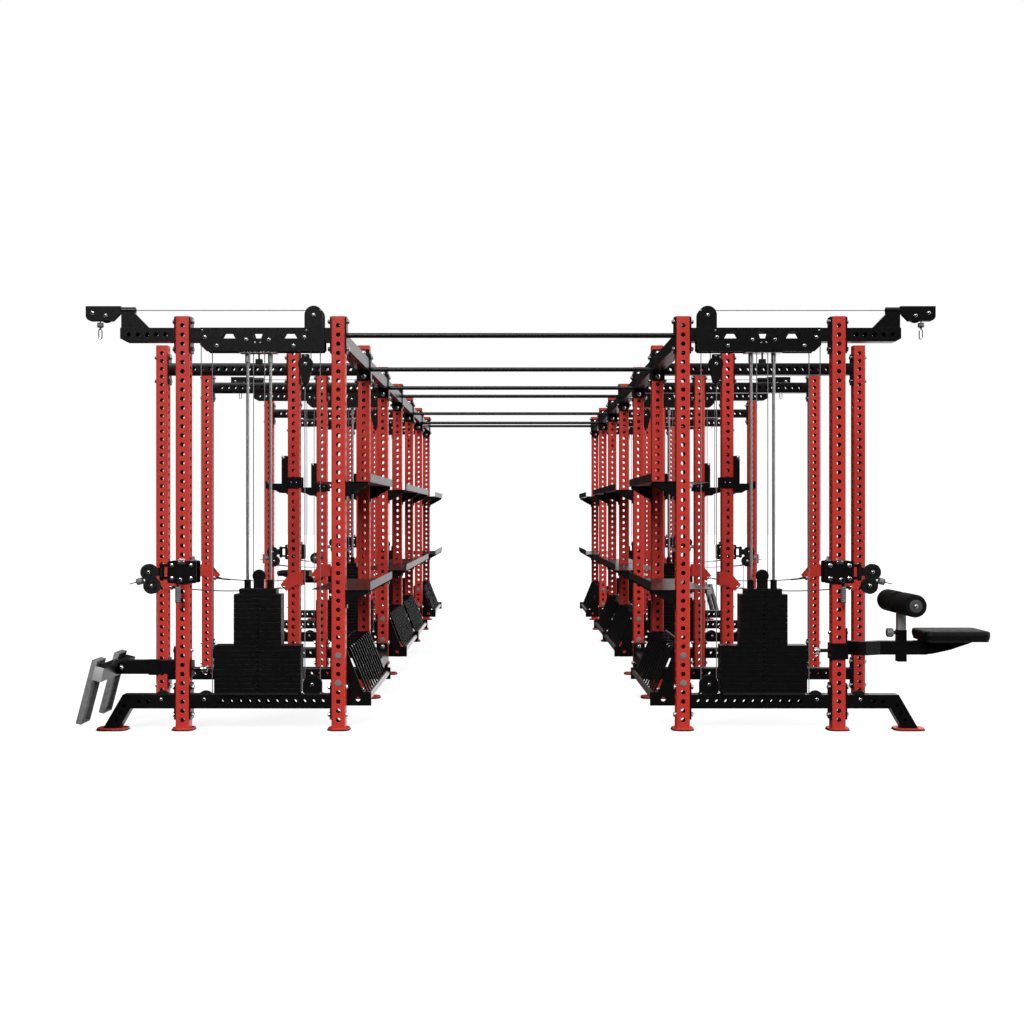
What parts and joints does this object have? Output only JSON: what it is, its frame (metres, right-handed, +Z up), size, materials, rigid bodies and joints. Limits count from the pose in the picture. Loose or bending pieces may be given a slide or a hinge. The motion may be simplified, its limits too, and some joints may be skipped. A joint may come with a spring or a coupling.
{
  "type": "multi-station training rig",
  "caption": "Double-row perforated rig: cable towers with weight stacks, rack bays, aisle pull-up bars, storage, low-row plates and a lat seat.",
  "frame": {"origin": "on the floor, at the centre of the rig's footprint", "axes": "+X across the aisle, +Y along the aisle, +Z up"},
  "size_m": [5.254, 7.8772, 2.354],
  "materials": {
    "frame_red": "satin red powder coat",
    "frame_black": "fine-textured black powder coat",
    "black_plastic": "moulded matt black plastic",
    "grey_plastic": "moulded grey plastic",
    "rubber": "matt black rubber",
    "steel": "polished steel and zinc plate",
    "cable": "grey nylon-coated wire rope",
    "webbing": "woven black webbing",
    "vinyl": "grained black upholstery vinyl",
    "foam": "closed-cell black foam",
    "tread": "grey chequer plate"
  },
  "bodies": {
    "rig": {"tower_uprights": "frame_red", "rack_uprights_left": "frame_red", "rack_uprights_right": "frame_red", "foot_plates": "frame_red", "foot_pads": "rubber", "aisle_beams": "frame_black", "rack_beams": "frame_black", "tower_top_beams": "frame_black", "tower_base_beams": "frame_black", "pullup_bars": "frame_black", "arm_brackets": "frame_black", "header_plates": "frame_black", "guide_rods": "steel", "bump_stops": "rubber", "weight_plates": "frame_black", "fixed_pulleys": "black_plastic", "pulley_brackets": "frame_black", "fixed_cables": "cable", "carriage_cables": "cable", "trolley_cables": "cable", "storage_shelves": "frame_black", "storage_racks": "frame_black", "storage_tubes": "steel", "frame_bolts": "steel", "strap_brackets": "frame_red", "safety_straps": "webbing", "j_cups": "frame_black", "low_row_arms": "frame_black", "low_row_treads": "tread", "seat_arms": "frame_black", "seat_pads": "vinyl"},
    "carriage_l1": {"carriage_l1": "frame_black"},
    "trolley_l1": {"trolley_l1": "frame_black"},
    "trolley_arm_l1": {"trolley_arm_l1": "black_plastic"},
    "lat_head_l1": {"lat_head_l1": "frame_black"},
    "carriage_l4": {"carriage_l4": "frame_black"},
    "trolley_l4": {"trolley_l4": "frame_black"},
    "trolley_arm_l4": {"trolley_arm_l4": "black_plastic"},
    "lat_head_l4": {"lat_head_l4": "frame_black"},
    "carriage_l7": {"carriage_l7": "frame_black"},
    "trolley_l7": {"trolley_l7": "frame_black"},
    "trolley_arm_l7": {"trolley_arm_l7": "black_plastic"},
    "lat_head_l7": {"lat_head_l7": "frame_black"},
    "carriage_r1": {"carriage_r1": "frame_black"},
    "trolley_r1": {"trolley_r1": "frame_black"},
    "trolley_arm_r1": {"trolley_arm_r1": "black_plastic"},
    "lat_head_r1": {"lat_head_r1": "frame_black"},
    "carriage_r4": {"carriage_r4": "frame_black"},
    "trolley_r4": {"trolley_r4": "frame_black"},
    "trolley_arm_r4": {"trolley_arm_r4": "black_plastic"},
    "lat_head_r4": {"lat_head_r4": "frame_black"},
    "carriage_r7": {"carriage_r7": "frame_black"},
    "trolley_r7": {"trolley_r7": "frame_black"},
    "trolley_arm_r7": {"trolley_arm_r7": "black_plastic"},
    "lat_head_r7": {"lat_head_r7": "frame_black"},
    "roller_post_l7": {"roller_post_l7": "steel"},
    "foam_rollers_l7": {"foam_rollers_l7": "foam"},
    "roller_post_r1": {"roller_post_r1": "steel"},
    "foam_rollers_r1": {"foam_rollers_r1": "foam"}
  },
  "joints": [
    {"name": "carriage_lift_l1", "type": "slide", "parent": "rig", "child": "carriage_l1", "axis": [0, 0, 1], "range_m": [0, 1.1], "deforming": ["carriage_cables"]},
    {"name": "trolley_slide_l1", "type": "slide", "parent": "rig", "child": "trolley_l1", "axis": [0, 0, 1], "range_m": [-0.2032, 1.016], "deforming": ["trolley_cables"]},
    {"name": "arm_swivel_l1", "type": "hinge", "parent": "trolley_l1", "child": "trolley_arm_l1", "pos_m": [-1.941, -3.6576, 0.878], "axis": [0, 0, 1], "range_deg": [-80, 80]},
    {"name": "lat_swivel_l1", "type": "hinge", "parent": "rig", "child": "lat_head_l1", "pos_m": [-2.12, -3.6576, 2.332], "axis": [1, 0, 0], "range_deg": [-60, 60]},
    {"name": "carriage_lift_l4", "type": "slide", "parent": "rig", "child": "carriage_l4", "axis": [0, 0, 1], "range_m": [0, 1.1], "deforming": ["carriage_cables"]},
    {"name": "trolley_slide_l4", "type": "slide", "parent": "rig", "child": "trolley_l4", "axis": [0, 0, 1], "range_m": [-0.2032, 1.016], "deforming": ["trolley_cables"]},
    {"name": "arm_swivel_l4", "type": "hinge", "parent": "trolley_l4", "child": "trolley_arm_l4", "pos_m": [-1.941, 0, 0.878], "axis": [0, 0, 1], "range_deg": [-80, 80]},
    {"name": "lat_swivel_l4", "type": "hinge", "parent": "rig", "child": "lat_head_l4", "pos_m": [-2.12, 0, 2.332], "axis": [1, 0, 0], "range_deg": [-60, 60]},
    {"name": "carriage_lift_l7", "type": "slide", "parent": "rig", "child": "carriage_l7", "axis": [0, 0, 1], "range_m": [0, 1.1], "deforming": ["carriage_cables"]},
    {"name": "trolley_slide_l7", "type": "slide", "parent": "rig", "child": "trolley_l7", "axis": [0, 0, 1], "range_m": [-0.2032, 1.016], "deforming": ["trolley_cables"]},
    {"name": "arm_swivel_l7", "type": "hinge", "parent": "trolley_l7", "child": "trolley_arm_l7", "pos_m": [-1.941, 3.6576, 0.878], "axis": [0, 0, 1], "range_deg": [-80, 80]},
    {"name": "lat_swivel_l7", "type": "hinge", "parent": "rig", "child": "lat_head_l7", "pos_m": [-2.12, 3.6576, 2.332], "axis": [1, 0, 0], "range_deg": [-60, 60]},
    {"name": "carriage_lift_r1", "type": "slide", "parent": "rig", "child": "carriage_r1", "axis": [0, 0, 1], "range_m": [0, 1.1], "deforming": ["carriage_cables"]},
    {"name": "trolley_slide_r1", "type": "slide", "parent": "rig", "child": "trolley_r1", "axis": [0, 0, 1], "range_m": [-0.2032, 1.016], "deforming": ["trolley_cables"]},
    {"name": "arm_swivel_r1", "type": "hinge", "parent": "trolley_r1", "child": "trolley_arm_r1", "pos_m": [1.941, -3.6576, 0.878], "axis": [0, 0, 1], "range_deg": [-80, 80]},
    {"name": "lat_swivel_r1", "type": "hinge", "parent": "rig", "child": "lat_head_r1", "pos_m": [2.12, -3.6576, 2.332], "axis": [1, 0, 0], "range_deg": [-60, 60]},
    {"name": "carriage_lift_r4", "type": "slide", "parent": "rig", "child": "carriage_r4", "axis": [0, 0, 1], "range_m": [0, 1.1], "deforming": ["carriage_cables"]},
    {"name": "trolley_slide_r4", "type": "slide", "parent": "rig", "child": "trolley_r4", "axis": [0, 0, 1], "range_m": [-0.2032, 1.016], "deforming": ["trolley_cables"]},
    {"name": "arm_swivel_r4", "type": "hinge", "parent": "trolley_r4", "child": "trolley_arm_r4", "pos_m": [1.941, 0, 0.878], "axis": [0, 0, 1], "range_deg": [-80, 80]},
    {"name": "lat_swivel_r4", "type": "hinge", "parent": "rig", "child": "lat_head_r4", "pos_m": [2.12, 0, 2.332], "axis": [1, 0, 0], "range_deg": [-60, 60]},
    {"name": "carriage_lift_r7", "type": "slide", "parent": "rig", "child": "carriage_r7", "axis": [0, 0, 1], "range_m": [0, 1.1], "deforming": ["carriage_cables"]},
    {"name": "trolley_slide_r7", "type": "slide", "parent": "rig", "child": "trolley_r7", "axis": [0, 0, 1], "range_m": [-0.2032, 1.016], "deforming": ["trolley_cables"]},
    {"name": "arm_swivel_r7", "type": "hinge", "parent": "trolley_r7", "child": "trolley_arm_r7", "pos_m": [1.941, 3.6576, 0.878], "axis": [0, 0, 1], "range_deg": [-80, 80]},
    {"name": "lat_swivel_r7", "type": "hinge", "parent": "rig", "child": "lat_head_r7", "pos_m": [2.12, 3.6576, 2.332], "axis": [1, 0, 0], "range_deg": [-60, 60]},
    {"name": "roller_height_l7", "type": "slide", "parent": "rig", "child": "roller_post_l7", "axis": [0, 0, 1], "range_m": [-0.0508, 0.0508]},
    {"name": "roller_spin_l7", "type": "hinge", "parent": "roller_post_l7", "child": "foam_rollers_l7", "pos_m": [-2.172, 3.6576, 0.705], "axis": [0, 1, 0], "continuous": true},
    {"name": "roller_height_r1", "type": "slide", "parent": "rig", "child": "roller_post_r1", "axis": [0, 0, 1], "range_m": [-0.0508, 0.0508]},
    {"name": "roller_spin_r1", "type": "hinge", "parent": "roller_post_r1", "child": "foam_rollers_r1", "pos_m": [2.172, -3.6576, 0.705], "axis": [0, 1, 0], "continuous": true}
  ]
}
